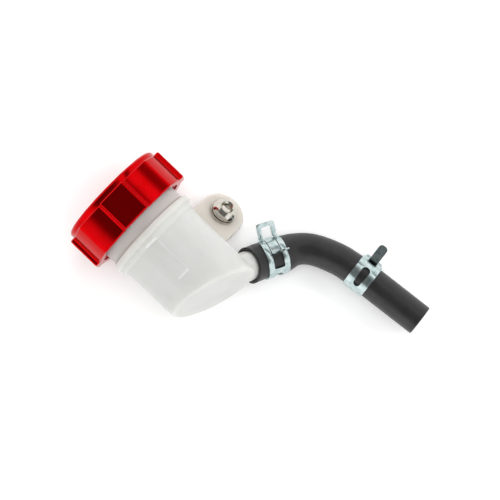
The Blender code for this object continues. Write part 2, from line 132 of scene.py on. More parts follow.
# Soft lamps: place in metres, width and watts
LAMPS = {
    "key_left": ((-0.5, 0.65, 0.8), 0.4, 1.2),
    "key_right": ((0.5, 0.65, 0.8), 0.4, 1.1),
    "overhead": ((0.03, 0.06, 0.9), 0.5, 2.7),
}
LAMP_AIM = (0.03, 0.0, 0.01)

# Camera: what it looks at in the reservoir's row, the way back from that, which way is up, and its lens
CAMERA_TARGET = (-0.0447, 22.4288, 25)
CAMERA_BACK = (0.0085336, -0.0343895, 1)
CAMERA_UP = (-0.6945, 0.7195, 0)
CAMERA_AWAY = 0.88
CAMERA_LENS = 158.4


def clear_scene():
    for o in list(bpy.data.objects):
        bpy.data.objects.remove(o, do_unlink=True)


def reservoir_frame():
    c, s = math.cos(ROLL), math.sin(ROLL)
    lying = Matrix(((0, 0, -1, 0), (c, -s, 0, 0), (-s, -c, 0, 0), (0, 0, 0, 1)))
    tip = Matrix.Rotation(-PITCH, 4, "Y")
    rest = tip @ Vector((-LIFT_EDGE[0], 0, -LIFT_EDGE[1]))
    shift = Matrix.Translation((Vector((0, 0, -rest.z)) - ORIGIN) * MM)
    return shift @ tip @ lying


def axes(x, y, z, origin=(0, 0, 0)):
    m = Matrix((x, y, z)).transposed().to_4x4()
    m.translation = Vector(origin) * MM
    return m


# ---------------------------------------------------------------- meshes


def add(name, bm, matrix=None):
    """An object from millimetre geometry."""
    bmesh.ops.scale(bm, vec=(MM, MM, MM), verts=bm.verts)
    mesh = bpy.data.meshes.new(name)
    bm.to_mesh(mesh)
    bm.free()
    o = bpy.data.objects.new(name, mesh)
    bpy.context.scene.collection.objects.link(o)
    o.matrix_world = matrix or Matrix.Identity(4)
    return o


def soften(o, angle=35):
    """Smooth shading, with edges over the angle kept sharp."""
    bm = bmesh.new()
    bm.from_mesh(o.data)
    limit = math.radians(angle)
    for f in bm.faces:
        f.smooth = True
    for e in bm.edges:
        e.smooth = len(e.link_faces) == 2 and e.calc_face_angle(0) < limit
    bm.to_mesh(o.data)
    bm.free()
    return o


def bake(o):
    """Applies the modifiers."""
    bpy.context.view_layer.update()
    dg = bpy.context.evaluated_depsgraph_get()
    mesh = bpy.data.meshes.new_from_object(o.evaluated_get(dg))
    o.modifiers.clear()
    o.data = mesh
    return o


def bevel(o, width, segments=2, angle=40):
    b = o.modifiers.new("edge", "BEVEL")
    b.width = width * MM
    b.segments = segments
    b.limit_method = "ANGLE"
    b.angle_limit = math.radians(angle)
    b.harden_normals = False
    return o


def rings_to_mesh(name, rings, matrix, closed=False):
    """A skin over rings of the same number of points."""
    bm = bmesh.new()
    made = [[bm.verts.new(p) for p in ring] for ring in rings]
    count = len(rings[0])
    pairs = list(zip(made, made[1:])) + ([(made[-1], made[0])] if closed else [])
    for a, b in pairs:
        for k in range(count):
            bm.faces.new((a[k], a[(k + 1) % count], b[(k + 1) % count], b[k]))
    if not closed:
        bm.faces.new(list(reversed(made[0])))
        bm.faces.new(made[-1])
    bmesh.ops.recalc_face_normals(bm, faces=bm.faces)
    return add(name, bm, matrix)


def lathe(name, profile, matrix, steps=96, closed=False):
    """A turned piece from (radius, height) points. Points on the axis are given a radius of 0."""
    bm = bmesh.new()
    turns = [2 * math.pi * k / steps for k in range(steps)]
    made = []
    for r, h in profile:
        if r == 0:
            made.append([bm.verts.new((0, 0, h))] * steps)
        else:
            made.append([bm.verts.new((r * math.cos(a), r * math.sin(a), h)) for a in turns])
    pairs = list(zip(made, made[1:])) + ([(made[-1], made[0])] if closed else [])
    for low, high in pairs:
        for k in range(steps):
            j = (k + 1) % steps
            corners = []
            for v in (low[k], low[j], high[j], high[k]):
                if v not in corners:
                    corners.append(v)
            if len(corners) > 2:
                bm.faces.new(corners)
    bmesh.ops.recalc_face_normals(bm, faces=bm.faces)
    return add(name, bm, matrix)


def prism(name, outline, low, high, matrix):
    return rings_to_mesh(name, [[(x, y, z) for x, y in outline] for z in (low, high)], matrix)


def arc_points(cx, cy, r, start, end, count):
    turns = [math.radians(start + (end - start) * k / count) for k in range(count + 1)]
    return [(cx + r * math.cos(a), cy + r * math.sin(a)) for a in turns]


def combine(target, tool, how):
    b = target.modifiers.new(how, "BOOLEAN")
    b.operation = how
    b.solver = "EXACT"
    b.object = tool
    bake(target)
    bpy.data.objects.remove(tool, do_unlink=True)


def merge(target, extra):
    """Adds another object's mesh as loose shells."""
    bm = bmesh.new()
    bm.from_mesh(target.data)
    other = extra.data.copy()
    other.transform(target.matrix_world.inverted() @ extra.matrix_world)
    bm.from_mesh(other)
    bm.to_mesh(target.data)
    bm.free()
    bpy.data.objects.remove(extra, do_unlink=True)
    bpy.data.meshes.remove(other)


def helix(name, profile, start, turns, step, matrix, per_turn=72, fade=0.35):
    """A helical ridge; profile is (radius, height) points, and the ridge sinks to its foot at both ends."""
    foot = profile[0][0]
    count = int(per_turn * turns)
    rings = []
    for k in range(count + 1):
        t = turns * k / count
        rise = min(1.0, t / fade, (turns - t) / fade)
        a = 2 * math.pi * t
        ring = []
        for r, h in profile:
            radius = foot + (r - foot) * max(0.02, rise)
            ring.append((radius * math.cos(a), radius * math.sin(a), start + h + step * t))
        rings.append(ring)
    return rings_to_mesh(name, rings, matrix)


# ---------------------------------------------------------------- materials


def node_material(name, **sockets):
    """A Principled material whose uniform values sit on the shader's own sockets."""
    m = bpy.data.materials.new(name)
    m.use_nodes = True
    shader = m.node_tree.nodes["Principled BSDF"]
    for key, value in sockets.items():
        shader.inputs[key.replace("_", " ")].default_value = value
    return m


def coordinates(m, stretch=(1, 1, 1)):
    """Object coordinates in millimetres, on the piece's own axes where it has some, and stretched."""
    tree = m.node_tree
    source = tree.nodes.new("ShaderNodeTexCoord").outputs["Object"]
    place = OWN_AXES.get(m.name)
    if place is not None:
        back = place.inverted()
        turned = tree.nodes.new("ShaderNodeMapping")
        turned.inputs["Rotation"].default_value = back.to_euler("XYZ")
        turned.inputs["Location"].default_value = back.translation
        tree.links.new(source, turned.inputs["Vector"])
        source = turned.outputs["Vector"]
    mapping = tree.nodes.new("ShaderNodeMapping")
    mapping.inputs["Scale"].default_value = [1000 * s for s in stretch]
    tree.links.new(source, mapping.inputs["Vector"])
    return mapping.outputs["Vector"]


def noise(m, scale, detail=3.0, rough=0.5, stretch=(1, 1, 1)):
    n = m.node_tree.nodes.new("ShaderNodeTexNoise")
    n.inputs["Scale"].default_value = scale
    n.inputs["Detail"].default_value = detail
    n.inputs["Roughness"].default_value = rough
    m.node_tree.links.new(coordinates(m, stretch), n.inputs["Vector"])
    return n.outputs["Fac"]


def ramp(m, value, stops):
    """A colour ramp; a stop is (position, colour or grey)."""
    r = m.node_tree.nodes.new("ShaderNodeValToRGB")
    e = r.color_ramp.elements
    while len(e) < len(stops):
        e.new(0.5)
    for k, (at, colour) in enumerate(stops):
        e[k].position = at
        e[k].color = (colour,) * 3 + (1,) if isinstance(colour, (int, float)) else (*colour, 1)
    m.node_tree.links.new(value, r.inputs["Fac"])
    return r.outputs["Color"]


def mix(m, a, b, fac, kind="MIX"):
    """Mixes two colours, where fac is a link or a number."""
    n = m.node_tree.nodes.new("ShaderNodeMix")
    n.data_type = "RGBA"
    n.blend_type = kind
    for socket, value in ((n.inputs[0], fac), (n.inputs[6], a), (n.inputs[7], b)):
        if isinstance(value, bpy.types.NodeSocket):
            m.node_tree.links.new(value, socket)
        else:
            socket.default_value = value
    return n.outputs[2]


def maths(m, how, a, b=0.0):
    n = m.node_tree.nodes.new("ShaderNodeMath")
    n.operation = how
    for socket, value in ((n.inputs[0], a), (n.inputs[1], b)):
        if isinstance(value, bpy.types.NodeSocket):
            m.node_tree.links.new(value, socket)
        else:
            socket.default_value = value
    return n.outputs[0]


def plug(m, **links):
    shader = m.node_tree.nodes["Principled BSDF"]
    for key, value in links.items():
        m.node_tree.links.new(value, shader.inputs[key.replace("_", " ")])


def bump(m, layers):
    """Stacks (height, strength, distance in mm) bumps and plugs them in."""
    tree = m.node_tree
    last = None
    for height, strength, distance in layers:
        b = tree.nodes.new("ShaderNodeBump")
        b.inputs["Strength"].default_value = strength
        b.inputs["Distance"].default_value = distance * MM
        tree.links.new(height, b.inputs["Height"])
        if last:
            tree.links.new(last, b.inputs["Normal"])
        last = b.outputs["Normal"]
    plug(m, Normal=last)


def turned_rings(m, scale, distortion=0.0):
    """Rings round the piece's axis."""
    w = m.node_tree.nodes.new("ShaderNodeTexWave")
    w.wave_type = "RINGS"
    w.rings_direction = "Z"
    w.inputs["Scale"].default_value = scale
    w.inputs["Distortion"].default_value = distortion
    m.node_tree.links.new(coordinates(m), w.inputs["Vector"])
    return w.outputs["Fac"]


def along_axis(m, direction):
    """Millimetres along a direction of the piece's own axes."""
    n = m.node_tree.nodes.new("ShaderNodeVectorMath")
    n.operation = "DOT_PRODUCT"
    m.node_tree.links.new(coordinates(m), n.inputs[0])
    n.inputs[1].default_value = direction
    return n.outputs["Value"]


def within(m, value, low, high, edge):
    """1 between low and high, fading to 0 over the edge."""
    n = m.node_tree.nodes
    shares = []
    for a, b in ((low - edge, low), (high + edge, high)):
        step = n.new("ShaderNodeMapRange")
        step.interpolation_type = "SMOOTHSTEP"
        step.inputs["From Min"].default_value = a
        step.inputs["From Max"].default_value = b
        m.node_tree.links.new(value, step.inputs["Value"])
        shares.append(step.outputs["Result"])
    return maths(m, "MULTIPLY", *shares)


def level_mark_highlight(m):
    """Painted highlight along the level lines that raise_marks lifts out of the wall, as a lighter tint."""
    c, s = math.cos(MARK_TURN), math.sin(MARK_TURN)
    out = within(m, along_axis(m, (c, s, 0)), 12, 40, 1)
    sideways = along_axis(m, (-s, c, 0))
    height = along_axis(m, (0, 0, 1))
    across = within(m, sideways, -2.6, 2.6, 0.25)
    lines = None
    for w in MARK_W:
        line = maths(m, "MULTIPLY", within(m, height, w - 0.3, w + 0.3, 0.22), across)
        lines = line if lines is None else maths(m, "MAXIMUM", lines, line)
    spine = maths(m, "MULTIPLY", within(m, sideways, 2.5, 2.7, 0.25), within(m, height, *sorted(MARK_W), 0.3))
    lines = maths(m, "MAXIMUM", lines, maths(m, "MULTIPLY", spine, 0.35))
    return maths(m, "MULTIPLY", lines, out)


def natural_plastic():
    """Milky injection-moulded plastic that light passes into."""
    m = node_material("natural_plastic_look", IOR=1.5, Subsurface_Weight=0.7, Specular_IOR_Level=0.45)
    shader = m.node_tree.nodes["Principled BSDF"]
    shader.inputs["Subsurface Radius"].default_value = (1.0, 0.95, 0.85)
    shader.inputs["Subsurface Scale"].default_value = 8.0 * MM
    cloud = noise(m, 0.09, 4.0, 0.55, (1, 1, 0.6))
    tone = ramp(m, cloud, [(0.35, (0.585, 0.588, 0.556)), (0.7, (0.63, 0.633, 0.60))])
    flow = ramp(m, noise(m, 0.55, 5.0, 0.6, (1, 1, 0.25)), [(0.3, 0.95), (0.75, 1.0)])
    tone = mix(m, tone, flow, 1.0, "MULTIPLY")
    radius = maths(m, "POWER", maths(m, "ADD", *(
        maths(m, "POWER", along_axis(m, d), 2.0) for d in ((1, 0, 0), (0, 1, 0)))), 0.5)
    reach = along_axis(m, (1, 0, 0))
    height = along_axis(m, (0, 0, 1))
    # Painted shade: the tab is tinted darker and warmer to stand in for the shade that falls on its thin
    # plastic.
    tab_painted_shade = maths(m, "MULTIPLY", within(m, reach, 21.0, 60.0, 3.0), within(m, height, 8.0, 30.0, 1.5))
    tone = mix(m, tone, (0.55, 0.505, 0.45, 1), maths(m, "MULTIPLY", tab_painted_shade, 0.75))
    # Painted shade: the neck under the cap is tinted greyer to stand in for the cap's shadow on it.
    neck = maths(m, "MULTIPLY", within(m, height, 34.2, 60.0, 0.3), within(m, radius, 15.0, 30.0, 1.0))
    tone = mix(m, tone, (0.545, 0.545, 0.52, 1), maths(m, "MULTIPLY", neck, 0.8))
    # Painted highlight: the raised level lines and their joining line are tinted lighter.
    marks = level_mark_highlight(m)
    plug(m, Base_Color=mix(m, tone, (0.74, 0.74, 0.71, 1), maths(m, "MULTIPLY", marks, 0.5)))
    plug(m, Roughness=ramp(m, noise(m, 0.8, 4.0), [(0.3, 0.33), (0.7, 0.46)]))
    bump(m, [(noise(m, 5.0, 3.0, 0.6), 0.10, 0.03), (noise(m, 0.35, 2.0), 0.12, 0.25)])
    return m


def red_anodised():
    """Bright anodised aluminium: a clear skin over tinted metal with fine cutter lines."""
    m = node_material("red_anodised_look", Metallic=1.0, Coat_Weight=0.04, Coat_Roughness=0.04)
    m.node_tree.nodes["Principled BSDF"].inputs["Specular Tint"].default_value = (0.9, 0.72, 0.72, 1)
    tone = ramp(m, noise(m, 0.16, 3.0), [(0.3, (0.48, 0.0, 0.001)), (0.7, (0.54, 0.0, 0.002))])
    plug(m, Base_Color=tone)
    lines = noise(m, 1.0, 3.0, 0.6, (0.25, 0.25, 9.0))
    plug(m, Roughness=ramp(m, lines, [(0.3, 0.15), (0.72, 0.22)]))
    bump(m, [(lines, 0.05, 0.02), (noise(m, 14.0, 2.0), 0.03, 0.008)])
    return m


def pale_plastic():
    m = node_material("ring_plastic_look", Roughness=0.5)
    plug(m, Base_Color=ramp(m, noise(m, 0.3, 3.0), [(0.3, (0.68, 0.68, 0.65)), (0.7, (0.75, 0.75, 0.72))]))
    bump(m, [(turned_rings(m, 1.6), 0.12, 0.03), (noise(m, 6.0), 0.1, 0.02)])
    return m


def bellows_rubber():
    m = node_material("bellows_rubber_look", Roughness=0.65, Specular_IOR_Level=0.35)
    plug(m, Base_Color=ramp(m, noise(m, 0.5, 4.0), [(0.3, 0.018), (0.75, 0.035)]))
    plug(m, Roughness=ramp(m, noise(m, 1.5, 4.0), [(0.3, 0.55), (0.7, 0.78)]))
    bump(m, [(noise(m, 9.0, 3.0), 0.25, 0.03)])
    return m


def stainless(name, rough):
    m = node_material(name, Metallic=1.0, Roughness=rough)
    tone = ramp(m, noise(m, 0.6, 3.0), [(0.3, (0.50, 0.47, 0.42)), (0.7, (0.62, 0.59, 0.53))])
    plug(m, Base_Color=tone)
    turned = turned_rings(m, 5.0, distortion=0.6)
    plug(m, Roughness=ramp(m, noise(m, 3.0, 4.0), [(0.3, rough * 0.75), (0.7, rough * 1.3)]))
    bump(m, [(turned, 0.05, 0.01), (noise(m, 10.0), 0.05, 0.008)])
    return m


def hose_rubber():
    """Matte moulded rubber with a fine grain and a faint bloom."""
    m = node_material("hose_rubber_look", Roughness=0.45, Specular_IOR_Level=0.5)
    bloom = noise(m, 0.22, 8.0, 0.72)
    plug(m, Base_Color=ramp(m, bloom, [(0.3, (0.006, 0.006, 0.007)), (0.75, (0.016, 0.015, 0.016))]))
    plug(m, Roughness=ramp(m, noise(m, 0.9, 5.0, 0.65), [(0.3, 0.34), (0.72, 0.52)]))
    bump(m, [(noise(m, 5.5, 3.0, 0.6), 0.22, 0.05), (noise(m, 0.7, 3.0), 0.2, 0.15)])
    return m


def zinc(name):
    """Bright zinc plate with a bluish passivated skin."""
    m = node_material(name, Metallic=1.0, Roughness=0.2)
    patches = noise(m, 0.5, 4.0, 0.6)
    tones = [(0.3, (0.32, 0.42, 0.43)), (0.5, (0.46, 0.55, 0.55)), (0.75, (0.62, 0.68, 0.66))]
    tone = ramp(m, patches, tones)
    plug(m, Base_Color=tone)
    plug(m, Roughness=ramp(m, noise(m, 1.7, 5.0, 0.7), [(0.3, 0.15), (0.7, 0.27)]))
    bump(m, [(noise(m, 6.0, 4.0, 0.7), 0.10, 0.02), (noise(m, 1.1, 3.0), 0.08, 0.05)])
    return m


def paint(o, m):
    o.data.materials.clear()
    o.data.materials.append(m)
    return o


# ---------------------------------------------------------------- the table, camera and light


def studio():
    bm = bmesh.new()
    bmesh.ops.create_grid(bm, x_segments=2, y_segments=2, size=1500)
    floor = add("table_top", bm, Matrix.Translation((0, 0, -0.02 * MM)))
    white = node_material("table_white", Roughness=0.9, Specular_IOR_Level=0.1, Emission_Strength=TABLE_GLOW)
    white.node_tree.nodes["Principled BSDF"].inputs["Emission Color"].default_value = (1, 1, 1, 1)
    plug(white, Base_Color=ramp(white, noise(white, 0.02, 2.0), [(0.3, 0.93), (0.7, 0.95)]))
    paint(floor, white)

    world = bpy.data.worlds.new("studio")
    bpy.context.scene.world = world
    world.use_nodes = True
    tree = world.node_tree
    coord = tree.nodes.new("ShaderNodeTexCoord")
    split = tree.nodes.new("ShaderNodeSeparateXYZ")
    tree.links.new(coord.outputs["Generated"], split.inputs[0])

    nodes, links = tree.nodes, tree.links
    angle = nodes.new("ShaderNodeMath")
    angle.operation = "ARCTAN2"
    links.new(split.outputs["Y"], angle.inputs[0])
    links.new(split.outputs["Z"], angle.inputs[1])
    share = nodes.new("ShaderNodeMapRange")
    share.inputs["From Min"].default_value = -math.pi
    share.inputs["From Max"].default_value = math.pi
    links.new(angle.outputs[0], share.inputs["Value"])
    bands = nodes.new("ShaderNodeValToRGB")
    e = bands.color_ramp.elements
    while len(e) < len(SURROUNDINGS):
        e.new(0.5)
    for k, (degrees, grey) in enumerate(SURROUNDINGS):
        e[k].position = 0.5 + degrees / 360
        e[k].color = (grey, grey, grey, 1)
    links.new(share.outputs["Result"], bands.inputs["Fac"])
    sideways = nodes.new("ShaderNodeMath")
    sideways.operation = "ABSOLUTE"
    links.new(split.outputs["X"], sideways.inputs[0])
    ends = nodes.new("ShaderNodeMapRange")
    ends.interpolation_type = "SMOOTHSTEP"
    ends.inputs["From Min"].default_value, ends.inputs["From Max"].default_value = ENDS_FADE
    links.new(sideways.outputs[0], ends.inputs["Value"])
    both = nodes.new("ShaderNodeMix")
    both.data_type = "RGBA"
    links.new(ends.outputs["Result"], both.inputs[0])
    links.new(bands.outputs["Color"], both.inputs[6])
    both.inputs[7].default_value = (ENDS_BRIGHTNESS,) * 3 + (1,)
    back = nodes["Background"]
    links.new(both.outputs[2], back.inputs["Color"])
    back.inputs["Strength"].default_value = WORLD_STRENGTH

    for name, (at, size, watts) in LAMPS.items():
        data = bpy.data.lights.new(name, "AREA")
        data.size = size
        data.energy = watts
        o = bpy.data.objects.new(name, data)
        bpy.context.scene.collection.objects.link(o)
        o.location = at
        o.visible_glossy = False  # metal mirrors only the surroundings
        o.rotation_mode = "QUATERNION"
        o.rotation_quaternion = (Vector(LAMP_AIM) - Vector(at)).to_track_quat("-Z", "Y")


def camera():
    shift = Vector((-ORIGIN.x, -ORIGIN.y, 0))
    target = (Vector(CAMERA_TARGET) + shift) * MM
    back = Vector(CAMERA_BACK).normalized()
    forward = -back
    right = forward.cross(Vector(CAMERA_UP)).normalized()
    up = right.cross(forward)
    data = bpy.data.cameras.new("camera")
    data.lens = CAMERA_LENS
    data.sensor_width = 36
    data.clip_start, data.clip_end = 0.01, 20
    o = bpy.data.objects.new("camera", data)
    bpy.context.scene.collection.objects.link(o)
    o.matrix_world = Matrix((right, up, back)).transposed().to_4x4()
    o.location = target + back * CAMERA_AWAY
    bpy.context.scene.camera = o
    bpy.context.scene.view_settings.view_transform = "Standard"


# ---------------------------------------------------------------- hose


def spout_frame():
    """Z along the spout, from where its axis meets the reservoir's."""
    c, s = math.cos(SLOPE), math.sin(SLOPE)
    return BASE @ axes((s, 0, c), (0, 1, 0), (c, 0, -s), (0, 0, BOTTOM_W + SPOUT_ABOVE / c))


def row_point(p):
    return Vector(p) - ORIGIN


def hose_line(step):
    """Even points down the middle of the hose, in row millimetres, and its length."""
    spout = spout_frame()
    mouth = (spout @ Vector((0, 0, MOUTH_A * MM))) / MM
    along = (spout.to_3x3() @ Vector((0, 0, 1))).normalized()
    ends = [row_point(p) for p in STRAIGHT]
    knots = [mouth - 5 * along, mouth, mouth + 2.0 * along] + [row_point(p) for p in ROUTE]
    straight = (ends[1] - ends[0]).normalized()
    knots += [ends[0], ends[0] + 3 * straight, ends[0] + 6 * straight]
    fine = []
    for a, b, c, d in zip(knots, knots[1:], knots[2:], knots[3:]):
        for k in range(24):
            t = k / 24
            fine.append(0.5 * (
                2 * b + (c - a) * t + (2 * a - 5 * b + 4 * c - d) * t * t
                + (3 * b - 3 * c + d - a) * t ** 3
            ))
    fine += [ends[0] + 3 * straight, ends[1]]
    total = sum((b - a).length for a, b in zip(fine, fine[1:]))
    count = round(total / step)
    points, gone, target = [fine[0]], 0.0, total / count
    for a, b in zip(fine, fine[1:]):
        length = (b - a).length
        while len(points) * target <= gone + length + 1e-9 and len(points) <= count:
            points.append(a.lerp(b, (len(points) * target - gone) / length))
        gone += length
    return points, total


def hose_radius(d):
    mouth, clamp, free = HOSE_R
    if d < 5.5:
        r = mouth + (clamp - mouth) * d / 5.5
    elif d < 15.5:
        r = clamp
    elif d < 24:
        t = (d - 15.5) / 8.5
        r = clamp + (free - clamp) * t * t * (3 - 2 * t)
    else:
        r = free
    return r


def hose_wall(d):
    t = min(1, max(0, (d - SPOUT_IN - 1) / 15))
    stretched, free = HOSE_WALL
    return stretched + (free - stretched) * t * t * (3 - 2 * t)


def frames_along(points):
    """Rotation-minimising frames: (point, side, up, along)."""
    side = Vector((0, 0, 1)).cross(points[1] - points[0]).normalized()
    out = []
    for k, p in enumerate(points):
        along = (points[min(k + 1, len(points) - 1)] - points[max(k - 1, 0)]).normalized()
        side = (side - along * side.dot(along)).normalized()
        out.append((p, side, along.cross(side), along))
    return out


def hose():
    points, total = hose_line(0.6)
    frames = frames_along(points)
    steps = 64
    turns = [2 * math.pi * k / steps for k in range(steps)]

    def ring(k, radius, push=0.0):
        p, side, up, along = frames[k]
        p = p + along * push
        return [p + radius * (math.cos(a) * side + math.sin(a) * up) for a in turns]

    last = len(points) - 1
    rings = []
    lip = 0.35
    for k in range(len(points)):
        d = total * k / last
        r = hose_radius(d)
        squeeze_1 = math.exp(-(((d - CLAMP_1_AT) / 3.2) ** 4))
        swell_1 = math.exp(-(((abs(d - CLAMP_1_AT) - 5.6) / 1.3) ** 2))
        squeeze_2 = math.exp(-(((d - CLAMP_2_AT) / 3.4) ** 4))
        r += 0.10 * squeeze_1 + 0.13 * swell_1 + 0.03 * squeeze_2
        if k == 0:
            rings += [ring(0, r - lip), ring(0, r - 0.12, 0.1), ring(0, r, lip)]
        elif k == last:
            rings += [ring(k, r, -lip), ring(k, r - 0.1, -0.08), ring(k, r - lip)]
        else:
            rings.append(ring(k, r))
    for k in reversed(range(len(points))):
        d = total * k / last
        r = hose_radius(d) - hose_wall(d)
        if k == last:
            rings += [ring(k, r + 0.2), ring(k, r, -0.2)]
        elif k == 0:
            rings += [ring(k, r, 0.2), ring(k, r + 0.2)]
        else:
            rings.append(ring(k, r))
    o = rings_to_mesh("hose_look", rings, Matrix.Identity(4), closed=True)
    soften(o, 50)
    return o, [p * MM for p in points], total * MM


# ---------------------------------------------------------------- clamps


def clamp_place(which):
    points, total = hose_line(2.2)
    if which == 1:
        at = min(points, key=lambda p: (p - row_point(ROUTE[1])).length)
        k = points.index(at)
        along = (points[k + 2] - points[k - 2]).normalized()
        return (at * 2 + points[k - 2] + points[k + 2]) / 4, along, total * k / (len(points) - 1)
    ends = [row_point(p) for p in STRAIGHT]
    straight = (ends[1] - ends[0]).normalized()
    centre = ends[0] + CLAMP_2_ALONG * straight
    return centre, straight, total - (ends[1] - centre).length


def clamp(name, which, *, ear, r_in, narrow, window_end, slot, loop_h, narrow_h, lean_along=0.0):
    """One strip of spring steel: a loop ear, the band with its window and slot, and the tongue's ear."""
    centre, along, _ = clamp_place(which)
    left = Vector((0, 0, 1)).cross(along).normalized()
    over = along.cross(left)
    e = math.radians(ear)
    x = math.cos(e) * left + math.sin(e) * over
    base = axes(x, along.cross(x), along, centre)

    mid = r_in + BAND_T / 2
    fold = 1.15
    arc_end = 360 + narrow
    lean = math.asin(fold / (mid + fold))
    turn = math.degrees(lean)
    reach = math.sqrt((mid + fold) ** 2 - fold ** 2)
    loop_len = mid + loop_h - reach
    quarter = (math.pi / 2 - lean) * fold
    band_len = math.radians(arc_end - 2 * turn) * mid
    narrow_len = mid + narrow_h - reach
    total = loop_len + quarter + band_len + quarter + narrow_len

    def rim(r, a):
        return Vector((r * math.cos(math.radians(a)), r * math.sin(math.radians(a))))

    out, across = rim(1, arc_end), rim(1, arc_end + 90)

    def place(s):
        """Point on the strip's middle line."""
        if s < loop_len:
            r = mid + loop_h - s
            return Vector((r, 0))
        s -= loop_len
        if s < quarter:
            q = s / fold
            return Vector((reach - math.sin(q) * fold, fold - math.cos(q) * fold))
        s -= quarter
        if s < band_len:
            return rim(mid, turn + math.degrees(s / mid))
        s -= band_len
        if s < quarter:
            q = lean + s / fold
            return out * (reach - math.cos(q) * fold) + across * (math.sin(q) * fold - fold)
        s -= quarter
        return out * (reach + s)

    def at_angle(a):
        return loop_len + quarter + math.radians(a - turn) * mid

    w = BAND / 2
    tongue = 1.95
    loop_w = 3.95
    window = (1.85, at_angle(window_end))
    slot_s = (at_angle(slot[0]), at_angle(slot[1]))
    taper = (at_angle(298), at_angle(328))

    def half(s):
        """Half the strip's width."""
        tip = min(s, total - s)
        if s < loop_len + quarter + 3:
            t = min(1, max(0, (s - loop_len - 0.3) / (quarter + 1.6)))
            h = loop_w + (w - loop_w) * t * t * (3 - 2 * t)
        elif s > taper[0]:
            t = min(1, (s - taper[0]) / (taper[1] - taper[0]))
            h = w + (tongue - w) * math.sin(t * math.pi / 2) ** 0.8
        else:
            h = w
        r = 1.5 if s > total / 2 else 1.1
        if tip < r:
            h -= r - math.sqrt(max(0, r * r - (r - tip) ** 2))
        return h

    def hole(s):
        """Half the hole's width, or nothing."""
        start, end = window
        if start < s < end:
            h = 2.05 if s < loop_len else 2.3
            tip = min(s - start, end - s)
            r = 0.55
            if tip < r:
                h -= r - math.sqrt(max(0, r * r - (r - tip) ** 2))
            return h
        start, end = slot_s
        if start < s < end:
            t = (s - start) / (end - start)
            h = SLOT_HALF[0] + (SLOT_HALF[1] - SLOT_HALF[0]) * t
            r = h
            tip = min(s - start, end - s)
            if tip < r:
                h = math.sqrt(max(0, r * r - (r - tip) ** 2))
            return max(h, 0.15)
        return 0

    marks = {0.0, total}
    for lo, hi in (window, slot_s):
        for edge, way in ((lo, 1), (hi, -1)):
            marks |= {edge + way * d for d in (1e-4, 0.06, 0.18, 0.36, 0.6, 0.9, 1.3)}
            marks |= {edge - way * 1e-4}
    for d in (0.05, 0.15, 0.3, 0.5, 0.75, 1.0, 1.25, 1.5):
        marks |= {d, total - d}
    s = 0.0
    while s < total:
        if min(abs(s - m) for m in marks) > 0.1:
            marks.add(s)
        s += 0.34
    stations = sorted(m for m in marks if 0 <= m <= total)

    bm = bmesh.new()
    rows = []
    for s in stations:
        p = place(s)
        h, inner = half(s), hole(s)
        solid = not inner
        if solid:
            near = [m for m in (window[0], window[1], *slot_s) if abs(m - s) < 2.5]
            inner = 1.2 if near else 1.0
            inner = min(inner, h * 0.6)
        shear = lean_along * max(0.0, s - (total - narrow_len)) / narrow_len
        row = []
        for z in (-h, -(h + inner) / 2, -inner, inner, (h + inner) / 2, h):
            row.append(bm.verts.new((p.x, p.y, z + shear)))
        rows.append((row, solid))
    for (a, solid_a), (b, solid_b) in zip(rows, rows[1:]):
        for k in range(5):
            if k == 2 and not (solid_a and solid_b):
                continue
            bm.faces.new((a[k], a[k + 1], b[k + 1], b[k]))
    bmesh.ops.recalc_face_normals(bm, faces=bm.faces)
    o = add(name, bm, base)
    thick = o.modifiers.new("thick", "SOLIDIFY")
    thick.thickness = BAND_T * MM
    thick.offset = 0
    thick.use_even_offset = True
    bevel(o, 0.09, 2, 50)
    bake(o)
    soften(o, 40)
    return o


# ---------------------------------------------------------------- reservoir, cap, bolt


def body_rings(r_low, r_top, bottom, top, rounding, inset=0.0):
    """Rings of a round tub with a slanted, rounded bottom, from the middle of the bottom to the top."""
    steps = 128
    slant = math.tan(SLOPE)
    rings = []

    def ring(radius, height):
        out = []
        for k in range(steps):
            a = 2 * math.pi * k / steps
            out.append((radius * math.cos(a), radius * math.sin(a), height(radius * math.cos(a))))
        return out

    full = r_low
    for share in (0.02, 0.3, 0.6, 0.8):
        r = (full - rounding) * share
        rings.append(ring(r, lambda x: bottom - x * slant))
    for k in range(9):
        q = math.pi / 2 * k / 8
        r = full - rounding + rounding * math.sin(q)
        lift = rounding * (1 - math.cos(q))
        rings.append(ring(r, lambda x, lift=lift: bottom - x * slant + lift))
    low = bottom + full * slant + rounding + 0.5
    for k in range(1, 9):
        t = k / 8
        r = full + (r_top - full) * t
        rings.append(ring(r, lambda x, t=t: (bottom + rounding - x * slant) * (1 - t) + (low + 2) * t))
    count = 8
    for k in range(1, count + 1):
        h = low + 2 + (top - low - 2) * k / count
        rings.append(ring(r_top, lambda x, h=h: h))
    return rings


def ridge_height(x, low, high, edge):
    """1 between low and high, fading to 0 over the edge."""
    t = min(1.0, max(0.0, 1 - max(low - x, x - high) / edge))
    return t * t * (3 - 2 * t)


def raise_marks(o):
    """Lifts the wall into two short level lines and the fainter line that joins them."""
    c, s = math.cos(MARK_TURN), math.sin(MARK_TURN)
    for v in o.data.vertices:
        x, y, w = v.co / MM
        sideways = y * c - x * s
        if x * c + y * s < BODY_R[0] - 1 or abs(sideways) > 4:
            continue
        line = max(ridge_height(w, at - 0.3, at + 0.3, 0.3) for at in MARK_W)
        line *= ridge_height(sideways, -2.6, 2.6, 0.3)
        spine = ridge_height(sideways, 2.45, 2.75, 0.3) * ridge_height(w, *sorted(MARK_W), 0.3)
        lift = MARK_LIFT * max(line, 0.4 * spine)
        v.co += Vector((x, y, 0)).normalized() * lift * MM


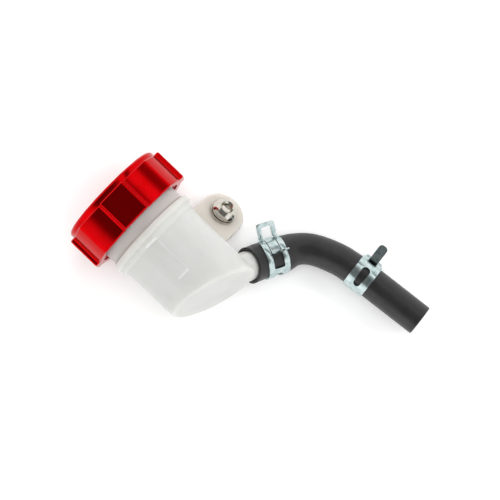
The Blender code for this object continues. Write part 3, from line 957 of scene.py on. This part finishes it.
def reservoir():
    rings = body_rings(BODY_R[0], BODY_R[0] + 0.35, BOTTOM_W, 24, 1.1)
    low = rings_to_mesh("reservoir_look", rings, BASE)
    upper = [
        (0, 22), (BODY_R[0] + 0.35, 22), (BODY_R[0] + 0.35, 23.8), (BODY_R[1], 28.4), (BODY_R[1] + 0.8, 28.9),
        (BODY_R[1] + 0.9, COLLAR_W[0]), (COLLAR_R, COLLAR_W[0]), (COLLAR_R, COLLAR_W[1]),
        (NECK_R, COLLAR_W[1] + 0.25),
        (NECK_R, NECK_TOP - 0.5), (NECK_R - 0.5, NECK_TOP), (0, NECK_TOP),
    ]
    combine(low, lathe("upper", upper, BASE, 128), "UNION")
    arc = arc_points(TAB_R, 0, TAB_HALF, 90, -90, 32)
    outline = [(12, TAB_HALF), (20, TAB_HALF)] + arc + [(20, -TAB_HALF), (12, -TAB_HALF)]
    upright = axes((1, 0, 0), (0, 0, 1), (0, -1, 0), (0, 0, TAB_W))
    tab = prism("tab", outline, -TAB_THICK / 2, TAB_THICK / 2, BASE @ upright)
    combine(low, tab, "UNION")
    end = MOUTH_A + SPOUT_IN
    spout = [
        (0, 8), (SPOUT_R, 8), (SPOUT_R, MOUTH_A - 0.4), (SPOUT_R - 0.2, MOUTH_A + 0.2),
        (SPOUT_R - 0.3, MOUTH_A + 1.5),
        (SPOUT_R - 1.1, end - 0.6), (SPOUT_R - 1.7, end), (0, end),
    ]
    combine(low, lathe("spout", spout, spout_frame(), 64), "UNION")

    inner = body_rings(BODY_R[0] - WALL, BODY_R[0] - WALL + 0.3, BOTTOM_W + 2.0, 51.5, 1.2)
    combine(low, rings_to_mesh("cavity", inner, BASE), "DIFFERENCE")
    bore = [(0, 5), (3.75, 5), (3.75, end + 1), (0, end + 1)]
    combine(low, lathe("spout_bore", bore, spout_frame(), 48), "DIFFERENCE")
    at = axes((1, 0, 0), (0, 0, 1), (0, -1, 0), (TAB_R, 0, TAB_W))
    hole = [(0, -4), (3.3, -4), (3.3, 4), (0, 4)]
    combine(low, lathe("tab_hole", hole, BASE @ at, 48), "DIFFERENCE")

    fine = low.modifiers.new("fine", "REMESH")
    fine.mode = "VOXEL"
    fine.voxel_size = BODY_VOXEL * MM
    ease = low.modifiers.new("ease", "SMOOTH")
    ease.factor = 0.5
    ease.iterations = 7
    bake(low)
    raise_marks(low)
    for f in low.data.polygons:
        f.use_smooth = True

    neck = [
        (NECK_R - 0.3, -0.75), (NECK_R + 0.2, -0.6), (19.85, -0.3),
        (19.85, 0.3), (NECK_R + 0.2, 0.6), (NECK_R - 0.3, 0.75),
    ]
    ridge = helix("neck_thread", neck, 42.6, 2.0, THREAD_STEP, BASE)
    soften(ridge, 40)
    merge(low, ridge)
    return low


def fillet(points, radius, count=3):
    """Rounds every corner of a closed outline."""
    out = []
    n = len(points)
    for k in range(n):
        a, b, c = (Vector(points[(k + j) % n]) for j in (-1, 0, 1))
        u, v = (a - b), (c - b)
        reach = min(radius, u.length * 0.45, v.length * 0.45)
        p, q = b + u.normalized() * reach, b + v.normalized() * reach
        for j in range(count + 1):
            t = j / count
            out.append(tuple(p.lerp(b, t).lerp(b.lerp(q, t), t)))
    return out


def inset(points, amount):
    """Moves a closed outline's points inwards."""
    out = []
    n = len(points)
    for k in range(n):
        a, b, c = (Vector(points[(k + j) % n]) for j in (-1, 0, 1))
        d = ((b - a).normalized() + (c - b).normalized()).normalized()
        out.append(tuple(b + Vector((-d.y, d.x)) * amount))
    return out


def cap():
    """One turned and milled piece: outer grip, top disc, bore and thread."""
    ridge = CAP_CREST * math.sqrt(0.5)
    half = [
        (25.0, 5.0), (24.96, 5.5), (24.8, 5.95), (24.45, 6.25), (23.5, 6.45),
        (22.95, 6.85), (22.68, 7.4), (22.58, 8.0),
    ]
    foot, crest = Vector(half[-1]), Vector((ridge, ridge))
    out = Vector((crest.y - foot.y, foot.x - crest.x)).normalized()
    for k in range(1, 10):
        t = k / 10
        half.append(tuple(foot.lerp(crest, t) + out * 4 * FLANK_BULGE * t * (1 - t)))
    lobe = half + [(ridge, ridge)] + [(y, x) for x, y in reversed(half)]
    outline = []
    for k in range(4):
        c, s = math.cos(math.pi / 2 * k), math.sin(math.pi / 2 * k)
        outline += [(x * c - y * s, x * s + y * c) for x, y in lobe]
    outline = fillet(outline, 0.22)
    dense = []
    n = len(outline)
    for k in range(n):
        a, b = Vector(outline[k]), Vector(outline[(k + 1) % n])
        parts = max(1, round((b - a).length / 2.5))
        dense += [tuple(a.lerp(b, j / parts)) for j in range(parts)]
    outline = dense
    turns = [math.atan2(y, x) for x, y in outline]

    def grip(amount, w):
        return [(x, y, w) for x, y in inset(outline, amount)]

    def circle(r, w):
        return [(r * math.cos(a), r * math.sin(a), w) for a in turns]

    low, high, top, r = CAP_LOW, CAP_SHOULDER, CAP_TOP, CAP_R
    rings = [
        circle(20.85, low), grip(0.5, low), grip(0.42, low + 0.02), grip(0.06, low + 0.4), grip(0, low + 0.5),
        grip(0, high - 0.5), grip(0.06, high - 0.4), grip(0.42, high - 0.03), grip(0.5, high),
        circle(r + 0.05, high), circle(r, high + 0.1), circle(r, top - 0.85), circle(r - 0.07, top - 0.72),
        circle(r - 0.72, top - 0.07), circle(r - 0.85, top), circle(14, top), circle(3, top),
    ]
    outer_end = len(rings)
    inner = [
        circle(3, 53.5), circle(14, 53.5), circle(19.9, 53.5), circle(20.25, 53.2), circle(20.25, low + 1.2),
        circle(20.8, low + 0.6),
    ]
    bm = bmesh.new()
    made = [[bm.verts.new(p) for p in ring] for ring in rings + inner]
    count = len(turns)
    for i, (a, b) in enumerate(zip(made, made[1:])):
        if i == outer_end - 1:
            bm.faces.new(a)
            bm.faces.new(list(reversed(b)))
            continue
        for k in range(count):
            bm.faces.new((a[k], a[(k + 1) % count], b[(k + 1) % count], b[k]))
    a, b = made[-1], made[0]
    for k in range(count):
        bm.faces.new((a[k], a[(k + 1) % count], b[(k + 1) % count], b[k]))
    bmesh.ops.recalc_face_normals(bm, faces=bm.faces)
    o = add("cap_look", bm, BASE @ Matrix.Rotation(-ROLL, 4, "Z"))
    soften(o, 28)
    crest = [(20.55, -0.75), (20.05, -0.6), (19.1, -0.3), (19.1, 0.3), (20.05, 0.6), (20.55, 0.75)]
    thread = helix("cap_thread", crest, 41.1, 2.0, THREAD_STEP, BASE)
    soften(thread, 40)
    merge(o, thread)
    return o


def bolt_frame(above):
    """Z out of the tab's top face along the bolt, that far above the face."""
    return BASE @ axes((1, 0, 0), (0, 0, 1), (0, -1, 0), (TAB_R, -(TAB_THICK / 2 + above), TAB_W))


def washer():
    ring = [
        (3.25, 0.08), (3.33, 0), (5.5, 0), (5.62, 0.12),
        (5.62, 0.75), (5.5, 0.9), (3.35, 0.9), (3.25, 0.8),
    ]
    o = lathe("bolt_washer_look", ring, bolt_frame(0.3), 96, closed=True)
    return soften(o, 50)


def bolt():
    at = bolt_frame(BOLT_ABOVE)
    profile = [
        (0, -10), (2.1, -10), (2.45, -9.6), (2.45, 0),
        (5.15, 0), (5.28, 0.12), (5.3, 0.35), (5.3, 0.7),
    ]
    foot, crown, dome = Vector((5.3, 0.7)), Vector((2.86, 3.37)), -1.5
    start, end = (math.atan2(p.y - dome, p.x) for p in (foot, crown))
    for k in range(1, 16):
        a = start + (end - start) * k / 15
        r = (foot - Vector((0, dome))).length
        profile.append((r * math.cos(a), dome + r * math.sin(a)))
    profile += [(2.74, 3.37), (2.62, 3.22), (2.05, 2.62), (2.05, 2.3), (0, 2.3)]
    o = lathe("mounting_bolt_look", profile, at, 96)
    r = 2.0 / math.cos(math.pi / 6)
    hexagon = [(r * math.cos(math.pi / 3 * k + 0.3), r * math.sin(math.pi / 3 * k + 0.3)) for k in range(6)]
    combine(o, prism("socket", hexagon, 1.1, 5, at), "DIFFERENCE")
    bevel(o, 0.06, 2, 40)
    bake(o)
    soften(o, 35)
    groove = [(2.35, -0.42), (2.95, -0.08), (2.95, 0.08), (2.35, 0.42)]
    thread = helix("bolt_thread", groove, -9.6, 8.2, 1.0, at, 32, 0.5)
    soften(thread, 30)
    merge(o, thread)
    return o


# ---------------------------------------------------------------- build

clear_scene()
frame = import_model()
BASE = reservoir_frame()
ON_RESERVOIR = ("natural_plastic_look", "red_anodised_look", "ring_plastic_look", "bellows_rubber_look")
OWN_AXES = {name: BASE for name in ON_RESERVOIR}
OWN_AXES |= {name: bolt_frame(BOLT_ABOVE) for name in ("stainless_washer_look", "stainless_bolt_look")}
CLAMP_1_AT = clamp_place(1)[2]
CLAMP_2_AT = clamp_place(2)[2]

camera()
studio()

hose_piece, hose_path, hose_length = hose()
paint(hose_piece, hose_rubber())
spout_clamp = paint(clamp("spout_clamp_look", 1, **SPOUT_CLAMP), zinc("zinc_spout_clamp_look"))
end_clamp = paint(clamp("hose_end_clamp_look", 2, **END_CLAMP), zinc("zinc_end_clamp_look"))
body_piece = paint(reservoir(), natural_plastic())
cap_piece = paint(cap(), red_anodised())
washer_piece = paint(washer(), stainless("stainless_washer_look", 0.16))
bolt_piece = paint(bolt(), stainless("stainless_bolt_look", 0.09))
paint(frame["nodes"]["slip_ring"], pale_plastic())
paint(frame["nodes"]["diaphragm"], bellows_rubber())

for piece, body, node, slot in (
    (body_piece, "reservoir", "reservoir_body", "natural_plastic"),
    (hose_piece, "reservoir", "hose", "hose_rubber"),
    (cap_piece, "cap", "cap", "red_anodised"),
    (washer_piece, "washer", "bolt_washer", "stainless_washer"),
    (bolt_piece, "bolt", "mounting_bolt", "stainless_bolt"),
    (spout_clamp, "spout_clamp", "spout_clamp", "zinc_spout_clamp"),
    (end_clamp, "hose_end_clamp", "hose_end_clamp", "zinc_end_clamp"),
):
    piece.data.transform(piece.matrix_world)
    piece.matrix_world = Matrix.Identity(4)
    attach(piece, body)
    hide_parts(node)
